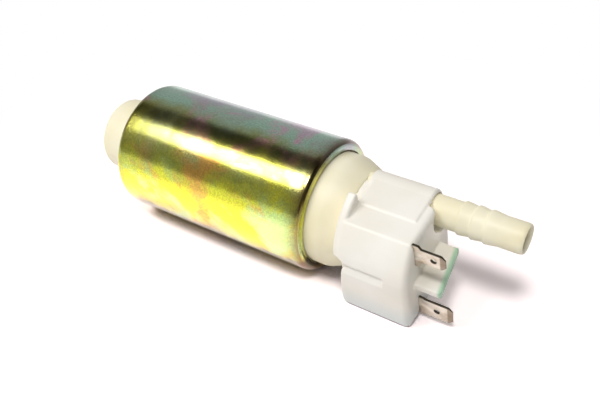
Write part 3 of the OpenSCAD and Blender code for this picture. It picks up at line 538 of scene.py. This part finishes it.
# The bevelled tips, the last 1.5 mm of each blade, are coloured darker.
# The upper blade lies above the can's axis in the upright drawing, the longer lower one below.
upper_tip, lower_tip = 0.03865, 0.03995
spot = add(tree, "SeparateXYZ", {0: upright_place(tree, place)})
lower = add(tree, "Math", {0: spot.outputs["Z"], 1: 0.0}, operation="LESS_THAN")
start = add(tree, "MapRange", {"Value": lower.outputs[0], "To Min": upper_tip,
                               "To Max": lower_tip})
beyond = add(tree, "Math", {0: spot.outputs["X"], 1: start.outputs[0]}, operation="SUBTRACT")
cut = add(tree, "MapRange", {"Value": beyond.outputs[0], "From Min": -0.0001,
                             "From Max": 0.0002, "To Max": 0.75})
tipped = add(tree, "Mix", {0: cut.outputs[0], 6: tinned.outputs[2], 7: linear("#6d5f4c")},
             data_type="RGBA")
# The stamped sides are painted near-black: partly the bare brass of the sheared edge, partly
# painted shade along the edges; the flats face along the drawing's Y.
across = (0.0, math.cos(rest_tilt), math.sin(rest_tilt))
flat = add(tree, "VectorMath", {0: add(tree, "TexCoord").outputs["Normal"], 1: across},
           operation="DOT_PRODUCT")
flatness = add(tree, "Math", {0: flat.outputs["Value"]}, operation="ABSOLUTE")
stamped = add(tree, "MapRange", {"Value": flatness.outputs[0], "From Min": 0.35,
                                 "From Max": 0.75, "To Min": 0.85, "To Max": 0.0})
sides_bare_brass_and_shade = add(tree, "Mix", {0: stamped.outputs[0], 6: tipped.outputs[2], 7: linear("#3a3128")},
            data_type="RGBA")
tree.links.new(sides_bare_brass_and_shade.outputs[2], shader.inputs["Base Color"])
rub = add(tree, "MapRange", {"Value": marks.outputs["Fac"], "From Min": 0.3, "From Max": 0.7,
                             "To Min": 0.28, "To Max": 0.5})
tree.links.new(rub.outputs[0], shader.inputs["Roughness"])
skin = add(tree, "Bump", {"Height": marks.outputs["Fac"], "Strength": 0.2, "Distance": 0.00003})
tree.links.new(skin.outputs["Normal"], shader.inputs["Normal"])
for name in ("terminal_positive", "terminal_negative"):
    tab = copy_of(name, "_tab", melt_degrees=1)
    break_edges(tab, 0.00014, 2, 40)
    smooth(tab, 30)
    coat(tab, tin)
    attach(tab, "pump")
    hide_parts(name)


# Inlet cover: ivory acetal like the cap, with a boss that the fuel is drawn in through. It is
# rolled in at the can's other end, and has the same finish, with the soft edges of its mould.
inlet = copy_of("inlet_cover", "_moulding", melt_degrees=0.5)
break_edges(inlet, 0.0003, 3, 40)
smooth(inlet)
coat(inlet, ivory)
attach(inlet, "pump")
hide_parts("inlet_cover")


# Pump stage: a die-cast aluminium body round a moulded phenolic impeller.
# The casting is bright grey with a fine grain, the impeller dark brown and slightly glossy.
cast, tree, shader, place = mottled("die_cast_aluminium", "#a4a7aa", 0.42, 1.0,
                                    (3, 0.35, 0.7, "#b1b4b6", "#8c8f93", 4.0))
# The casting's grain is about 0.5 mm.
pits = add(tree, "TexNoise", {"Vector": place, "Scale": 1800.0, "Detail": 3.0})
skin = add(tree, "Bump", {"Height": pits.outputs["Fac"], "Strength": 0.25, "Distance": 0.00005})
tree.links.new(skin.outputs["Normal"], shader.inputs["Normal"])
coat(nodes["pump_body"], cast)
phenolic, *_ = mottled("moulded_phenolic", "#3d342b", 0.45, 0.0,
                       (2, 0.35, 0.7, "#43392f", "#2f2822", 4.0), IOR=1.55)
coat(nodes["impeller"], phenolic)


# Shaft, bearings and thrust ball: ground steel running in sintered bronze.
# Ground steel has fine rings round it, sintered bronze is matt and speckled with pores.
ground, tree, shader, place = finish_for("ground_steel", "#a3a8ad", 0.22, 1.0)
rings = add(tree, "Mapping", {"Vector": place, "Scale": (1.0, 0.05, 0.05)})
lines = add(tree, "TexNoise", {"Vector": rings.outputs[0], "Scale": 9000.0, "Detail": 2.0})
rub = add(tree, "MapRange", {"Value": lines.outputs["Fac"], "From Min": 0.3, "From Max": 0.7,
                             "To Min": 0.16, "To Max": 0.32})
tree.links.new(rub.outputs[0], shader.inputs["Roughness"])
for name in ("shaft", "thrust_ball", "relief_valve_ball"):
    coat(nodes[name], ground)
bronze, *_ = mottled("sintered_bronze", "#ad8a4c", 0.5, 1.0,
                     (0.5, 0.45, 0.65, "#b8955a", "#6f5630", 2.0))
for name in ("upper_bearing", "lower_bearing", "relief_valve_plug"):
    coat(nodes[name], bronze)


# Armature: varnished steel laminations with enamelled copper wire, and a turned copper commutator.
# Such sheets are 0.5 mm thick and such wire about 0.4 mm, drawn as lines 1 mm and 1.2 mm apart so
# that they show.
stack, tree, shader, place = finish_for("steel_laminations", "#5d6266", 0.4, 1.0)
sheets = add(tree, "TexWave", {"Vector": place, "Scale": 320.0}, bands_direction="X")
tone = add(tree, "Mix", {0: sheets.outputs["Fac"], 6: linear("#4d5256"), 7: linear("#72777b")},
           data_type="RGBA")
tree.links.new(tone.outputs[2], shader.inputs["Base Color"])
coat(nodes["armature_core"], stack)
wire, tree, shader, place = finish_for("enamelled_copper_wire", "#a95d2b", 0.3, 1.0)
turns = add(tree, "TexWave", {"Vector": place, "Scale": 300.0, "Distortion": 2.0},
            bands_direction="DIAGONAL")
tone = add(tree, "Mix", {0: turns.outputs["Fac"], 6: linear("#7c3f1c"), 7: linear("#c2743c")},
           data_type="RGBA")
tree.links.new(tone.outputs[2], shader.inputs["Base Color"])
for name in ("armature_winding", "choke_positive", "choke_negative"):
    coat(nodes[name], wire)
copper, *_ = mottled("turned_copper", "#c58148", 0.3, 1.0,
                     (1.5, 0.4, 0.7, "#cf8d55", "#94552c", 3.0))
coat(nodes["commutator"], copper)
fibre, *_ = mottled("hard_fibre", "#7a4c30", 0.6, 0.0,
                    (1, 0.4, 0.7, "#84553a", "#5f3921", 3.0))
for name in ("upper_washer", "lower_washer"):
    coat(nodes[name], fibre)


# Field: two arc magnets of ground ferrite in a plated steel sleeve, pushed apart by spring clips.
# Ferrite is dark grey and stony, the sleeve and the clips are plain bright steel.
ferrite, *_ = mottled("ground_ferrite", "#3a3b3e", 0.55, 0.0,
                      (1.2, 0.4, 0.7, "#424347", "#2a2b2e", 4.0), IOR=2.0)
for name in ("magnet_front", "magnet_back"):
    coat(nodes[name], ferrite)
plated, *_ = mottled("zinc_plated_steel", "#94979a", 0.32, 1.0,
                     (4, 0.35, 0.7, "#9fa2a5", "#7f8285", 3.0))
coat(nodes["flux_ring"], plated)
spring_steel, *_ = mottled("drawn_spring_wire", "#aeb3b8", 0.28, 1.0,
                           (0.6, 0.4, 0.7, "#bcc1c5", "#888d92", 2.0))
for name in ("magnet_clip_top", "magnet_clip_bottom"):
    coat(nodes[name], spring_steel)


# Coil springs: drawn steel wire behind each brush, the poppet and the relief ball.
# Each is copied as a piece of its own, with a mesh of its own.
forwards = (1.0, 0.0, 0.0)
upwards = (0.0, -math.sin(rest_tilt), math.cos(rest_tilt))
downwards = (0.0, math.sin(rest_tilt), -math.cos(rest_tilt))
for name, joint, direction, travel in (
        ("check_valve_spring", "check_valve_slide", forwards, 0.0015),
        ("relief_valve_spring", "relief_valve_slide", forwards, 0.001),
        ("brush_spring_positive", "brush_positive_slide", upwards, 0.001),
        ("brush_spring_negative", "brush_negative_slide", downwards, 0.001)):
    spring = copy_of(name, "_coil")
    smooth(spring, 50)
    coat(spring, spring_steel)
    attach(spring, "pump")
    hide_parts(name)
    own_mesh(spring)


# Brush gear: carbon brushes that slide in a moulded holder, pressed on the commutator by springs.
# The holder is black filled resin, the brushes are pressed carbon with a graphite sheen.
holder_resin, *_ = mottled("glass_filled_resin", "#2a2826", 0.5, 0.0,
                           (1.5, 0.4, 0.7, "#302e2b", "#1f1d1c", 4.0))
coat(nodes["brush_holder"], holder_resin)
carbon, *_ = mottled("pressed_carbon", "#26262a", 0.45, 0.0,
                     (0.8, 0.4, 0.7, "#2e2e32", "#18181b", 4.0))
for name in ("brush_positive", "brush_negative"):
    coat(nodes[name], carbon)


# Check valve: a red rubber poppet in the foot of the tube, held by a spring and a moulded
# retainer. The rubber is matt, the retainer is of the cap's plastic.
rubber, *_ = mottled("red_rubber", "#b0452f", 0.6, 0.0,
                     (1.5, 0.4, 0.7, "#b84b34", "#8f3423", 3.0))
coat(nodes["check_valve_poppet"], rubber)
coat(nodes["check_valve_retainer"], ivory)


# Seals: black rubber rings in the grooves of both caps, pressed against the can.
# Moulded rubber is matt and even.
seal_rubber, *_ = mottled("black_rubber", "#1c1c1e", 0.6, 0.0,
                          (1.5, 0.4, 0.7, "#222224", "#141416", 3.0))
for name in ("outlet_seal", "inlet_seal"):
    coat(nodes[name], seal_rubber)
